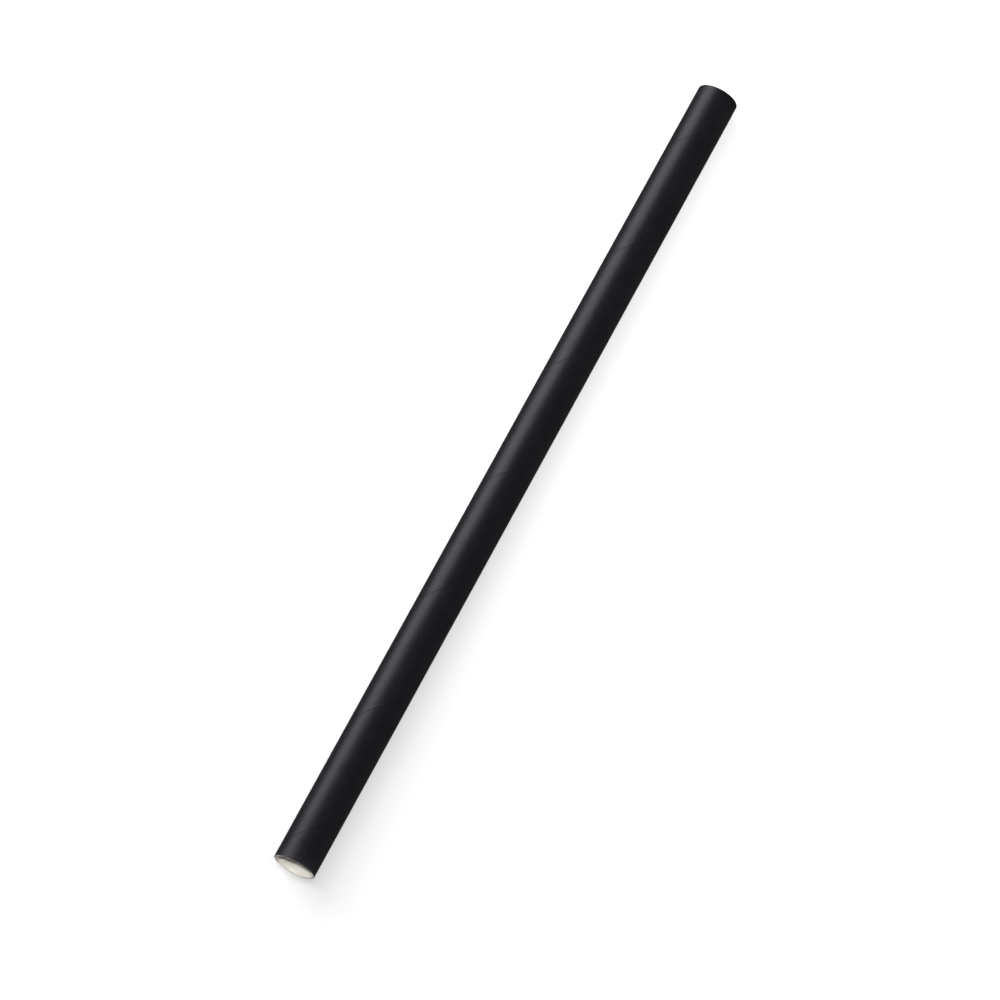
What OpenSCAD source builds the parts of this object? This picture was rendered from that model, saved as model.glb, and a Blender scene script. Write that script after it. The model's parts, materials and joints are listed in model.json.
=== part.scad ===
// A paper drinking straw: one straight tube, wound and glued from paper plies,
// black outside and pale inside, with both ends cut square and open.
// Lengths are in millimetres. The straw lies along X on the plane z = 0.

/* [Tube] */
// Outer diameter of the straw
straw_d = 10; // [5:0.5:14]
// Length of the straw from cut to cut
straw_l = 210; // [120:5:260]
// Thickness of the wound paper wall
wall_t = 0.5; // [0.35:0.05:0.8]

/* [Cut ends] */
// Rounding of the outer edge, where the knife pressed the wall in
outer_edge_r = 0.12; // [0.04:0.01:0.16]
// Rounding of the inner edge, round the mouth
inner_edge_r = 0.05; // [0.02:0.01:0.12]

/* [Hidden] */
straw_r = straw_d / 2;
bore_r = straw_r - wall_t;
paper_black = "#1e1e21";
// Sides of every round
$fn = 48;

// Cuts the square corner at the origin down to a quarter circle of radius r.
// The paper lies towards -x and -y.
module edge_cutter(r) {
    difference() {
        translate([-r, -r]) square(2 * r);
        translate([-r, -r]) circle(r);
    }
}

// The wall cut along the straw: x is the distance from the axis, y runs along the straw.
module wall_section() {
    difference() {
        translate([bore_r, -straw_l / 2]) square([wall_t, straw_l]);
        for (end = [0, 1]) mirror([0, end]) {
            translate([straw_r, straw_l / 2]) edge_cutter(outer_edge_r);
            translate([bore_r, straw_l / 2]) mirror([1, 0]) edge_cutter(inner_edge_r);
        }
    }
}

// The whole straw, lying on its side with its axis one radius above the table.
// The round starts and ends at the top, away from the table.
module straw_tube() {
    color(paper_black)
        translate([0, 0, straw_r])
            rotate([0, -90, 0])
                rotate_extrude() wall_section();
}

straw_tube();
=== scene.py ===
# A black paper drinking straw, wound from strips of paper and cut square, lying on a pale floor.
# The wound wall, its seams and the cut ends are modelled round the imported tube, in metres.

import json
import math

import bpy
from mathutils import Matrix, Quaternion, Vector


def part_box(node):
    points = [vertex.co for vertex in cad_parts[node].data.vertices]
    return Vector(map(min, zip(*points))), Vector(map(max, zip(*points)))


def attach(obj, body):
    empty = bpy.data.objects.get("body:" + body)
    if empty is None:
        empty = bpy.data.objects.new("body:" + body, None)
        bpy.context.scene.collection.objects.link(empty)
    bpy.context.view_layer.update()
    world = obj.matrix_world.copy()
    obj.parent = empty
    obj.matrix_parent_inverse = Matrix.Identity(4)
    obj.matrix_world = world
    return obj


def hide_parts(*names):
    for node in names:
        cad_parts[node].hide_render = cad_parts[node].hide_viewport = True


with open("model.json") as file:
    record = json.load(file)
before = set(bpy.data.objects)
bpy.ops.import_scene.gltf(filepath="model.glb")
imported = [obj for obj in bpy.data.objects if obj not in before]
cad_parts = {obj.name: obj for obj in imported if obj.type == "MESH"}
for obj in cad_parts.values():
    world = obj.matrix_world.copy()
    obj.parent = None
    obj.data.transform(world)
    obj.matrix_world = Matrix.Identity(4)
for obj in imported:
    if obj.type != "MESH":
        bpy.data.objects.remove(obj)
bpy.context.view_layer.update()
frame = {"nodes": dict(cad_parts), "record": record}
print("frame loaded:", ", ".join(sorted(frame["nodes"])))

mm = 0.001
strawNode = "straw_tube"
mounts = {mount["name"]: mount["dims"] for mount in frame["record"]["mounts"]}
boxLow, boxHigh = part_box(strawNode)
strawMiddle = (boxLow + boxHigh) / 2
strawLength = boxHigh.x - boxLow.x
strawRadius = mounts["outside"]["r_mm"] * mm
boreRadius = mounts["bore"]["r_mm"] * mm
# the true walls stop short of the ends by the rounding of the cuts' edges
outerEdge = (strawLength - mounts["outside"]["length_mm"] * mm) / 2
innerEdge = (strawLength - mounts["bore"]["length_mm"] * mm) / 2


class Wire:
    # one output of a node, which Python's own arithmetic works on
    def __init__(self, maker, socket):
        self.maker = maker
        self.socket = socket

    def math(self, operation, *others):
        return self.maker.node("ShaderNodeMath", {"operation": operation},
                               dict(enumerate((self,) + others)))

    def __add__(self, other):
        return self.math("ADD", other)

    __radd__ = __add__

    def __sub__(self, other):
        return self.math("SUBTRACT", other)

    def __rsub__(self, other):
        return (self * -1) + other

    def __mul__(self, other):
        return self.math("MULTIPLY", other)

    __rmul__ = __mul__

    def __truediv__(self, other):
        return self.math("DIVIDE", other)


class NodeMaker:
    def __init__(self, tree):
        self.tree = tree
        tree.nodes.clear()

    def node(self, kind, settings=None, inputs=None, output=0):
        made = self.tree.nodes.new(kind)
        for name, value in (settings or {}).items():
            setattr(made, name, value)
        for key, value in (inputs or {}).items():
            socket = self.pick(made.inputs, key)
            for one in value if isinstance(value, list) else [value]:
                if isinstance(one, Wire):
                    self.tree.links.new(one.socket, socket)
                else:
                    socket.default_value = one
        return Wire(self, self.pick(made.outputs, output)) if made.outputs else made

    def pick(self, sockets, key):
        if isinstance(key, int):
            return sockets[key]
        return next(socket for socket in sockets if socket.name == key and socket.enabled)

    def clamp(self, value, low=0.0, high=1.0):
        return self.node("ShaderNodeClamp", inputs={"Value": value, "Min": low, "Max": high})

    def step(self, value, low, high):  # 0 below low, 1 above high, smooth between
        return self.node("ShaderNodeMapRange", {"interpolation_type": "SMOOTHSTEP"},
                         {"Value": value, "From Min": low, "From Max": high})

    def bell(self, value, width):  # 1 at nought, falling off over the width on both sides
        share = value / width
        return (share * share * -1).math("EXPONENT")

    def point(self, x, y, z):
        return self.node("ShaderNodeCombineXYZ", inputs={"X": x, "Y": y, "Z": z})

    def part(self, vector, axis):
        return self.node("ShaderNodeSeparateXYZ", inputs={"Vector": vector}, output=axis)

    def noise(self, vector, scale, detail=2.0, roughness=0.5):
        return self.node("ShaderNodeTexNoise", inputs={
            "Vector": vector, "Scale": scale, "Detail": detail, "Roughness": roughness})

    def mix(self, share, first, second):  # colours go through here
        return self.node("ShaderNodeMix", {"data_type": "RGBA"},
                         {"Factor": share, "A": first, "B": second}, "Result")


# The camera looks down on the lying straw, so that it has the photograph's place and foreshortening.
cameraValues = {
    "azimuth": -63.01,
    "elevation": 67.77,
    "distance": 1.085,
    "lens": 174.21,
    "sensor": 36.0,
    "clipEnd": 50.0,
    "aim": (-0.00783, -0.00076),  # from the middle of the straw, along it and across it
}


def makeCamera(values):
    azimuth = math.radians(values["azimuth"])
    elevation = math.radians(values["elevation"])
    back = Vector((math.sin(azimuth) * math.cos(elevation),
                   -math.cos(azimuth) * math.cos(elevation),
                   math.sin(elevation)))
    data = bpy.data.cameras.new("camera")
    data.lens = values["lens"]
    data.sensor_width = values["sensor"]
    data.clip_end = values["clipEnd"]
    camera = bpy.data.objects.new("camera", data)
    bpy.context.scene.collection.objects.link(camera)
    aim = strawMiddle + Vector((*values["aim"], 0))
    camera.location = aim + back * values["distance"]
    camera.rotation_euler = back.to_track_quat("Z", "Y").to_euler()
    bpy.context.scene.camera = camera


makeCamera(cameraValues)
print("camera set")

# The wall is a strip of paper wound in a spiral. Its relief only sinks in from the round of the
# packed tube. The values with names in plain words are the inputs of the straw's node tree.
woundWall = {
    "Seam Pitch": 31.4 * mm,       # along the straw from one turn of the outer seam to the next
    "Seam Gap": 0.05 * mm,         # half the width of the open joint between two turns
    "Seam Depth": 0.035 * mm,
    "Lifted Edge": 0.024 * mm,     # how far one edge of the strip stands proud of the other
    "Lifted Width": 0.7 * mm,
    "Under Seam": 0.012 * mm,      # the dip over the joint of the ply below
    "Under Seam Width": 0.55 * mm,
    "Swell": 0.024 * mm,           # slow waviness of the wound paper
    "Swell Scale": 130.0,          # its waves to the metre
    "Inner Seam Gap": 0.10 * mm,
    "Inner Seam Depth": 0.05 * mm,
    "Inner Seam Start": 0.30,      # of a turn, so that the plies' joints don't line up
}
cutEnd = {
    "Ply Joint": 0.010 * mm,       # half the width of the glue line between two plies
    "Ply Joint Depth": 0.016 * mm,
    "Ragged": 0.022 * mm,          # how far the fibres of the cut stand up and down
    "Ragged Scale": 9000.0,
}
plyDepths = (0.10 * mm, 0.233 * mm, 0.367 * mm)  # the joints of the four plies, from the outside in
meshValues = {
    "around": 128,                 # faces round the straw
    "outerTurn": 48,               # rows of faces to a turn of the strip
    "innerTurn": 16,
    "end": 50,                     # rows of faces from the outer edge of a cut to its inner edge
    "spareTurns": 2,               # one past each end
    "seamCrowding": 0.97,          # how strongly the rows gather at the seams
    "swellDetail": 1.0,
    "raggedDetail": 3.0,
    "raggedRoughness": 0.65,
    "raggedFade": 0.12,            # share of a cut's profile where its fibres fade out, at both edges
    "weld": 0.001 * mm,
}

seamPitch = woundWall["Seam Pitch"]
aroundLength = 2 * math.pi * strawRadius
turnLength = math.hypot(aroundLength, seamPitch)
stripWidth = aroundLength * seamPitch / turnLength
turnCount = math.ceil(strawLength / seamPitch) + meshValues["spareTurns"]
strawSizes = {
    "Length": strawLength,
    "Radius": strawRadius,
    "Bore": boreRadius,
    "Outer Edge": outerEdge,
    "Inner Edge": innerEdge,
    **woundWall,
    **cutEnd,
}
strawParts = {"outer": 0, "cut": 1, "inner": 2}


class StrawTree(NodeMaker):
    # Each stretch of the skin is a flat unit grid, rolled up: its x runs round the straw,
    # and its y along the stretch.
    def __init__(self, materials):
        super().__init__(bpy.data.node_groups.new("paperStrawTree", "GeometryNodeTree"))
        face = self.tree.interface
        face.new_socket("Geometry", in_out="OUTPUT", socket_type="NodeSocketGeometry")
        for name in strawSizes:
            face.new_socket(name, in_out="INPUT", socket_type="NodeSocketFloat")
        for name in materials:
            face.new_socket(name, in_out="INPUT", socket_type="NodeSocketMaterial")
        face.new_socket("Middle", in_out="INPUT", socket_type="NodeSocketVector")
        self.entry = self.node("NodeGroupInput").socket.node
        place = self.node("GeometryNodeInputPosition")
        self.around = self.part(place, "X") + 0.5
        self.along = self.part(place, "Y") + 0.5

    def size(self, name):
        return Wire(self, self.entry.outputs[name])

    def phase(self, x, start=0.0):  # in turns: whole numbers lie on the seam
        return (x + self.size("Length") / 2) / self.size("Seam Pitch") - self.around + start

    def across(self, phase):  # distance from the nearest seam, across the strip
        return (phase - phase.math("ROUND")) * stripWidth

    def rolled(self, x, radius):
        angle = self.around * (2 * math.pi)
        return self.point(x, radius * angle.math("COSINE"), radius * angle.math("SINE"))

    def swell(self, x, radius):
        wave = self.noise(self.rolled(x, radius), self.size("Swell Scale"), meshValues["swellDetail"])
        return wave * self.size("Swell")

    def outerRelief(self, x):
        phase = self.phase(x)
        across = self.across(phase)
        gap = self.bell(across, self.size("Seam Gap")) * self.size("Seam Depth")
        lifted = self.step(across, 0.0, self.size("Lifted Width"))
        lifted = lifted.math("MAXIMUM", self.step(across, 0.0, self.size("Seam Gap") * -1))
        under = self.bell(self.across(phase + 0.5), self.size("Under Seam Width"))
        return (gap + lifted * self.size("Lifted Edge") + under * self.size("Under Seam")
                + self.swell(x, self.size("Radius")))

    def innerRelief(self, x):
        across = self.across(self.phase(x, self.size("Inner Seam Start")))
        gap = self.bell(across, self.size("Inner Seam Gap")) * self.size("Inner Seam Depth")
        return gap + self.swell(x, self.size("Bore"))

    def skin(self, rows, kind, place, uv, flipped):
        grid = self.node("GeometryNodeMeshGrid", inputs={
            "Size X": 1.0, "Size Y": 1.0,
            "Vertices X": meshValues["around"] + 1, "Vertices Y": rows + 1})
        mapped = self.node("GeometryNodeStoreNamedAttribute",
                           {"data_type": "FLOAT2", "domain": "CORNER"},
                           {"Geometry": grid, "Name": "stripUv", "Value": uv})
        marked = self.node("GeometryNodeStoreNamedAttribute",
                           {"data_type": "INT", "domain": "FACE"},
                           {"Geometry": mapped, "Name": "strawPart", "Value": strawParts[kind]})
        moved = self.node("GeometryNodeSetPosition", inputs={"Geometry": marked, "Position": place})
        return self.node("GeometryNodeFlipFaces", inputs={"Mesh": moved}) if flipped else moved

    # The rows of a wall follow its seam. They gather there and half a turn on, where the outer wall
    # dips over the joint below. What runs past an end is pressed back to the end's ring.
    def wall(self, kind, rowsPerTurn, edge, start, radiusAt, flipped):
        turn = self.along * turnCount
        ripple = (turn * (4 * math.pi)).math("SINE")
        gathered = turn - ripple * (meshValues["seamCrowding"] / (4 * math.pi))
        turnsIn = gathered + self.around - meshValues["spareTurns"] / 2 - start
        reach = self.size("Length") / 2 - edge
        free = turnsIn * self.size("Seam Pitch") - self.size("Length") / 2
        x = self.clamp(free, reach * -1, reach)
        phase = self.phase(x, start)
        index = self.node("GeometryNodeFieldOnDomain", {"data_type": "FLOAT", "domain": "FACE"},
                          {"Value": phase}).math("FLOOR")
        share = phase - index
        uv = self.point((self.around + index) * turnLength + share * (seamPitch ** 2 / turnLength),
                        share * stripWidth, 0.0)
        return self.skin(rowsPerTurn * turnCount, kind, self.rolled(x, radiusAt(x)), uv, flipped)

    # An end is one profile turned round the axis: the pressed outer edge, the flat of the cut and
    # the inner edge.
    def end(self, side):
        quarter = math.pi / 2
        wall = self.size("Radius") - self.size("Bore")
        flat = wall - self.size("Outer Edge") - self.size("Inner Edge")
        outerArc = self.size("Outer Edge") * quarter
        innerArc = self.size("Inner Edge") * quarter
        run = self.along * (outerArc + flat + innerArc)
        outerTurn = self.clamp(run / outerArc) * quarter
        level = self.clamp((run - outerArc) / flat)
        innerTurn = self.clamp((run - outerArc - flat) / innerArc) * quarter
        outerRing = (self.size("Length") / 2 - self.size("Outer Edge")) * side
        innerRing = (self.size("Length") / 2 - self.size("Inner Edge")) * side
        depth = ((1.0 - outerTurn.math("COSINE")) * self.size("Outer Edge") + level * flat
                 + innerTurn.math("SINE") * self.size("Inner Edge"))
        radius = (self.size("Radius") - depth - self.outerRelief(outerRing) * (1.0 - level)
                  + self.innerRelief(innerRing) * level)
        back = ((1.0 - outerTurn.math("SINE")) * self.size("Outer Edge")
                + (1.0 - innerTurn.math("COSINE")) * self.size("Inner Edge"))
        fibres = self.noise(self.rolled(outerRing, radius), self.size("Ragged Scale"),
                            meshValues["raggedDetail"], meshValues["raggedRoughness"])
        cut = fibres * self.size("Ragged")
        for place in plyDepths:
            joint = self.bell(depth - place, self.size("Ply Joint"))
            cut = cut + joint * self.size("Ply Joint Depth")
        inside = (self.step(self.along, 0.0, meshValues["raggedFade"])
                  * self.step(1.0 - self.along, 0.0, meshValues["raggedFade"]))
        x = (self.size("Length") / 2 - back - cut * inside) * side
        uv = self.point(self.around * aroundLength, depth, 0.0)
        return self.skin(meshValues["end"], "cut", self.rolled(x, radius), uv, side < 0)

    def build(self, materials):
        outer = self.wall("outer", meshValues["outerTurn"], self.size("Outer Edge"), 0.0,
                          lambda x: self.size("Radius") - self.outerRelief(x), False)
        inner = self.wall("inner", meshValues["innerTurn"], self.size("Inner Edge"),
                          self.size("Inner Seam Start"),
                          lambda x: self.size("Bore") + self.innerRelief(x), True)
        joined = self.node("GeometryNodeJoinGeometry", inputs={
            "Geometry": [outer, inner, self.end(1), self.end(-1)]})
        welded = self.node("GeometryNodeMergeByDistance", inputs={
            "Geometry": joined, "Distance": meshValues["weld"]})
        smooth = self.node("GeometryNodeSetShadeSmooth", inputs={"Geometry": welded})
        placed = self.node("GeometryNodeTransform", inputs={
            "Geometry": smooth, "Translation": self.size("Middle")})
        result = self.node("GeometryNodeRealizeInstances", inputs={"Geometry": placed})
        kind = self.node("GeometryNodeInputNamedAttribute", {"data_type": "INT"},
                         {"Name": "strawPart"}, "Attribute")
        for name, part in materials.items():
            chosen = self.node("FunctionNodeCompare", {"data_type": "INT", "operation": "EQUAL"},
                               {"A": kind, "B": strawParts[part]})
            result = self.node("GeometryNodeSetMaterial", inputs={
                "Geometry": result, "Selection": chosen, "Material": self.size(name)})
        self.node("NodeGroupOutput", inputs={"Geometry": result})
        return self.tree


def meshFromTree(name, tree, values):
    piece = bpy.data.objects.new(name, bpy.data.meshes.new(name + "Start"))
    bpy.context.scene.collection.objects.link(piece)
    modifier = piece.modifiers.new("nodes", "NODES")
    modifier.node_group = tree
    for item in tree.interface.items_tree:
        if item.in_out == "INPUT":
            modifier[item.identifier] = values[item.name]
    graph = bpy.context.evaluated_depsgraph_get()
    mesh = bpy.data.meshes.new_from_object(piece.evaluated_get(graph), depsgraph=graph)
    mesh.name = name
    while mesh.materials[0] is None:  # the slot that the bare grids start with
        mesh.materials.pop(index=0)
    piece.modifiers.clear()
    piece.data = mesh
    return piece


def finishMaterial(name, shaderInputs, build):
    material = bpy.data.materials.new(name)
    material.use_nodes = True
    maker = NodeMaker(material.node_tree)
    links = build(maker)
    shader = maker.node("ShaderNodeBsdfPrincipled", inputs={**shaderInputs, **links})
    maker.node("ShaderNodeOutputMaterial", inputs={"Surface": shader})
    return material


# The paper's patterns follow the wound strip's own map, which is in metres.
def stripMap(maker, alongSize, acrossSize):  # stretched to a grain of this length and width
    uv = maker.node("ShaderNodeUVMap", {"uv_map": "stripUv"})
    return maker.node("ShaderNodeVectorMath", {"operation": "MULTIPLY"},
                      {0: uv, 1: (1 / alongSize, 1 / acrossSize, 1.0)})


def acrossStrip(maker):  # from the seam on a wall, and from the outer edge on a cut
    uv = maker.node("ShaderNodeUVMap", {"uv_map": "stripUv"})
    return maker.part(uv, "Y")


def paperFibres(maker, values):
    grain = stripMap(maker, values["fibreLength"], values["fibreWidth"])
    return maker.noise(grain, 1.0, values["fibreDetail"], values["fibreRoughness"])


def fibreBump(maker, values, fibres):
    return maker.node("ShaderNodeBump", inputs={
        "Strength": values["bumpStrength"], "Distance": values["fibreRelief"], "Height": fibres})


def seamMask(maker, values):  # 1 on the joint between two turns, 0 where its shade ends
    across = acrossStrip(maker)
    fromSeam = across.math("MINIMUM", stripWidth - across)
    return 1.0 - maker.step(fromSeam, values["seamCore"], values["seamShade"])


blackFinish = {
    "base": (0.0096, 0.0092, 0.0123, 1),
    "worn": (0.0200, 0.0193, 0.0244, 1),
    "seam": (0.0062, 0.0060, 0.0078, 1),
    "specular": 0.5,
    "roughness": 0.42,
    "roughnessSpread": 0.20,
    "seamRoughness": 0.15,
    "fibreLength": 1.4 * mm,
    "fibreWidth": 0.16 * mm,
    "fibreDetail": 4.0,
    "fibreRoughness": 0.6,
    "fibreRelief": 0.015 * mm,
    "bumpStrength": 0.8,
    "cloudSize": 5.0 * mm,
    "fibreMottle": 1.3,            # what fibres and clouds add to the share of the worn colour
    "cloudMottle": 0.9,
    "wornShare": 0.42,
    "seamCore": 0.024 * mm,
    "seamShade": 0.08 * mm,
}


def blackPaper(maker):
    values = blackFinish
    fibres = paperFibres(maker, values)
    clouds = maker.noise(stripMap(maker, values["cloudSize"], values["cloudSize"]), 1.0)
    worn = maker.clamp((fibres - 0.5) * values["fibreMottle"] + (clouds - 0.5) * values["cloudMottle"]
                       + values["wornShare"])
    paper = maker.mix(worn, values["base"], values["worn"])
    seam = seamMask(maker, values)
    return {"Base Color": maker.mix(seam, paper, values["seam"]),
            "Roughness": ((fibres - 0.5) * values["roughnessSpread"] + values["roughness"]
                          + seam * values["seamRoughness"]),
            "Normal": fibreBump(maker, values, fibres)}


cutFinish = {
    "skin": blackFinish["base"],   # the outer ply is black right through
    "core": (0.54, 0.51, 0.455, 1),
    "shadedCore": (0.40, 0.375, 0.325, 1),
    "glue": (0.27, 0.245, 0.205, 1),
    "specular": 0.3,
    "roughness": 0.85,
    "skinRoughness": 0.55,
    "skinDepth": plyDepths[0],
    "skinFade": 0.02 * mm,
    "skinRagged": 0.06 * mm,       # how far the edge of the black wanders
    "fibreLength": 0.09 * mm,
    "fibreWidth": 0.045 * mm,
    "fibreDetail": 4.0,
    "fibreRoughness": 0.65,
    "fibreRelief": 0.01 * mm,
    "bumpStrength": 0.7,
    "fibreContrast": 1.6,
    "fibreShade": 0.3,
    "clumpLength": 0.54 * mm,
    "clumpWidth": 0.27 * mm,
    "glueWidth": 0.012 * mm,
    "glueStrength": 0.7,
}


def cutPaper(maker):
    values = cutFinish
    depth = acrossStrip(maker)
    fine = paperFibres(maker, values)
    broad = maker.noise(stripMap(maker, values["clumpLength"], values["clumpWidth"]), 1.0)
    ragged = (fine + broad - 1.0) * values["skinRagged"]
    skin = 1.0 - maker.step(depth + ragged, values["skinDepth"] - values["skinFade"],
                            values["skinDepth"] + values["skinFade"])
    glue = maker.bell(depth - plyDepths[0], values["glueWidth"])
    for place in plyDepths[1:]:
        glue = glue.math("MAXIMUM", maker.bell(depth - place, values["glueWidth"]))
    pale = maker.clamp(fine * values["fibreContrast"] - values["fibreShade"])
    core = maker.mix(pale, values["shadedCore"], values["core"])
    core = maker.mix(glue * values["glueStrength"], core, values["glue"])
    smoother = values["roughness"] - values["skinRoughness"]
    return {"Base Color": maker.mix(skin, core, values["skin"]),
            "Roughness": values["roughness"] - skin * smoother,
            "Normal": fibreBump(maker, values, fine)}


innerFinish = {
    "paper": (0.65, 0.62, 0.565, 1),
    "shaded": (0.53, 0.50, 0.45, 1),
    "seam": (0.35, 0.32, 0.275, 1),
    "specular": 0.3,
    "roughness": 0.80,
    "roughnessSpread": 0.10,
    "fibreLength": 1.1 * mm,
    "fibreWidth": 0.18 * mm,
    "fibreDetail": 4.0,
    "fibreRoughness": 0.6,
    "fibreRelief": 0.012 * mm,
    "bumpStrength": 0.7,
    "fibreContrast": 1.5,
    "fibreShade": 0.25,
    "seamCore": 0.036 * mm,
    "seamShade": 0.12 * mm,
    "seamStrength": 0.8,
}


def innerPaper(maker):
    values = innerFinish
    fibres = paperFibres(maker, values)
    pale = maker.clamp(fibres * values["fibreContrast"] - values["fibreShade"])
    paper = maker.mix(pale, values["shaded"], values["paper"])
    seam = seamMask(maker, values) * values["seamStrength"]
    return {"Base Color": maker.mix(seam, paper, values["seam"]),
            "Roughness": values["roughness"] + (fibres - 0.5) * values["roughnessSpread"],
            "Normal": fibreBump(maker, values, fibres)}


def paperMaterial(name, values, build):
    return finishMaterial(name, {"Specular IOR Level": values["specular"]}, build)


strawMaterials = {
    "Black Paper": paperMaterial("blackPaper", blackFinish, blackPaper),
    "Cut Paper": paperMaterial("cutPaper", cutFinish, cutPaper),
    "Inner Paper": paperMaterial("innerPaper", innerFinish, innerPaper),
}
partOfMaterial = {"Black Paper": "outer", "Cut Paper": "cut", "Inner Paper": "inner"}
strawTree = StrawTree(strawMaterials).build(partOfMaterial)
paperStraw = meshFromTree("paperStraw", strawTree,
                          {**strawSizes, **strawMaterials, "Middle": strawMiddle})
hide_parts(strawNode)
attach(paperStraw, "root")
print("straw wound:", len(paperStraw.data.vertices), "points,", len(paperStraw.data.polygons), "faces")

floorValues = {
    "size": 6.0,
    "white": (0.86, 0.86, 0.86, 1),
    "grey": (0.84, 0.84, 0.84, 1),
    "grain": 3.0 * mm,
    "roughness": 0.70,
    "roughnessSpread": 0.05,
    # painted light: the pale floor glows, which lifts the shadows on it; it glows less by the end that
    # the camera sees into, so the straw's shadow is darker there and fades towards the far end
    "paintedGlowNear": (0.53, 0.53, 0.53, 1),
    "paintedGlowFar": (0.72, 0.72, 0.72, 1),
    "paintedGlowStrength": 1.0,
}


def makeFloor(values):
    half = values["size"] / 2
    mesh = bpy.data.meshes.new("floor")
    corners = [(-half, -half, 0), (half, -half, 0), (half, half, 0), (-half, half, 0)]
    mesh.from_pydata(corners, [], [(0, 1, 2, 3)])
    floor = bpy.data.objects.new("floor", mesh)
    bpy.context.scene.collection.objects.link(floor)

    def paint(maker):
        place = maker.node("ShaderNodeTexCoord", output="Object")
        grain = maker.noise(place, 1 / values["grain"])
        towardsFar = maker.step(maker.part(place, "X"), -strawLength / 2, strawLength / 2)
        return {"Base Color": maker.mix(grain, values["white"], values["grey"]),
                "Roughness": values["roughness"] + grain * values["roughnessSpread"],
                # painted glow of the floor, weaker by the near end and stronger towards the far end,
                # lightening the straw's shadow
                "Emission Color": maker.mix(towardsFar, values["paintedGlowNear"], values["paintedGlowFar"])}

    glow = {"Emission Strength": values["paintedGlowStrength"]}
    mesh.materials.append(finishMaterial("floorPaint", glow, paint))
    floor.visible_glossy = False  # the black paper doesn't mirror the floor, as in the photograph


makeFloor(floorValues)
print("floor laid")

# A light stands in a direction from a point on the straw's axis, in degrees round from the far end
# and above the floor, and faces that point. Its turn then swings it about the vertical.
lightValues = {
    "overhead": {
        "kind": "AREA", "aim": 0.0, "azimuth": 0, "height": 88, "distance": 1.6, "turn": 0,
        "settings": {"shape": "RECTANGLE", "size": 2.4, "size_y": 0.34, "energy": 12},
        "gloss": False, "diffuse": True, "onlyStraw": False,
    },
    "key": {  # its reflection is the band of shine along the straw
        "kind": "AREA", "aim": 0.0, "azimuth": 66, "height": 33.3, "distance": 0.9, "turn": -27,
        "settings": {"shape": "RECTANGLE", "size": 0.8, "size_y": 0.755, "energy": 5.05,
                     "color": (0.975, 0.968, 1.0)},
        "gloss": True, "diffuse": True, "onlyStraw": False,
    },
    "farSheen": {  # dim, and mirrored only to someone who looks from the near end
        "kind": "AREA", "aim": 0.0, "azimuth": -8, "height": 22, "distance": 0.9, "turn": 0,
        "settings": {"shape": "RECTANGLE", "size": 0.4, "size_y": 0.2, "energy": 0.32},
        "gloss": True, "diffuse": False, "onlyStraw": True,
    },
    "nearSheen": {  # the same for someone who looks from the far end
        "kind": "AREA", "aim": 0.0, "azimuth": 190, "height": 33, "distance": 0.9, "turn": 0,
        "settings": {"shape": "RECTANGLE", "size": 0.7, "size_y": 0.24, "energy": 0.65},
        "gloss": True, "diffuse": False, "onlyStraw": True,
    },
    "mouth": {  # steep, so that it reaches only the first two millimetres of the inner wall
        "kind": "SPOT", "aim": -0.1238, "azimuth": 180, "height": 85, "distance": 0.15, "turn": 0,
        "settings": {"spot_size": math.radians(14.7), "spot_blend": 0.03,
                     "shadow_soft_size": 0.004, "energy": 2.0},
        "gloss": False, "diffuse": True, "onlyStraw": True,
    },
}
strawOnly = bpy.data.collections.new("strawOnly")
strawOnly.objects.link(paperStraw)


def makeLight(name, values):
    data = bpy.data.lights.new(name, values["kind"])
    for setting, value in values["settings"].items():
        setattr(data, setting, value)
    light = bpy.data.objects.new(name, data)
    bpy.context.scene.collection.objects.link(light)
    azimuth = math.radians(values["azimuth"])
    height = math.radians(values["height"])
    towards = Vector((math.cos(azimuth) * math.cos(height),
                      math.sin(azimuth) * math.cos(height),
                      math.sin(height)))
    turn = Quaternion((0, 0, 1), math.radians(values["turn"]))
    light.location = strawMiddle + Vector((values["aim"], 0, 0)) + towards * values["distance"]
    light.rotation_euler = (turn @ towards.to_track_quat("Z", "Y")).to_euler()
    light.visible_glossy = values["gloss"]
    light.visible_diffuse = values["diffuse"]
    if values["onlyStraw"]:
        light.light_linking.receiver_collection = strawOnly


for lightName, lightSettings in lightValues.items():
    makeLight(lightName, lightSettings)

worldValues = {
    "white": (1, 1, 1, 1),
    "light": 0.05,  # what it sheds on the scene
    "seen": 0.95,   # what the camera sees past the floor
}


def makeWorld(values):
    world = bpy.data.worlds.new("studio")
    world.use_nodes = True
    maker = NodeMaker(world.node_tree)
    seen = maker.node("ShaderNodeLightPath", output="Is Camera Ray")
    dim = maker.node("ShaderNodeBackground", inputs={
        "Color": values["white"], "Strength": values["light"]})
    pale = maker.node("ShaderNodeBackground", inputs={
        "Color": values["white"], "Strength": values["seen"]})
    both = maker.node("ShaderNodeMixShader", inputs={0: seen, 1: dim, 2: pale})
    maker.node("ShaderNodeOutputWorld", inputs={"Surface": both})
    bpy.context.scene.world = world


makeWorld(worldValues)
bpy.context.scene.view_settings.view_transform = "Standard"
print("lights set")
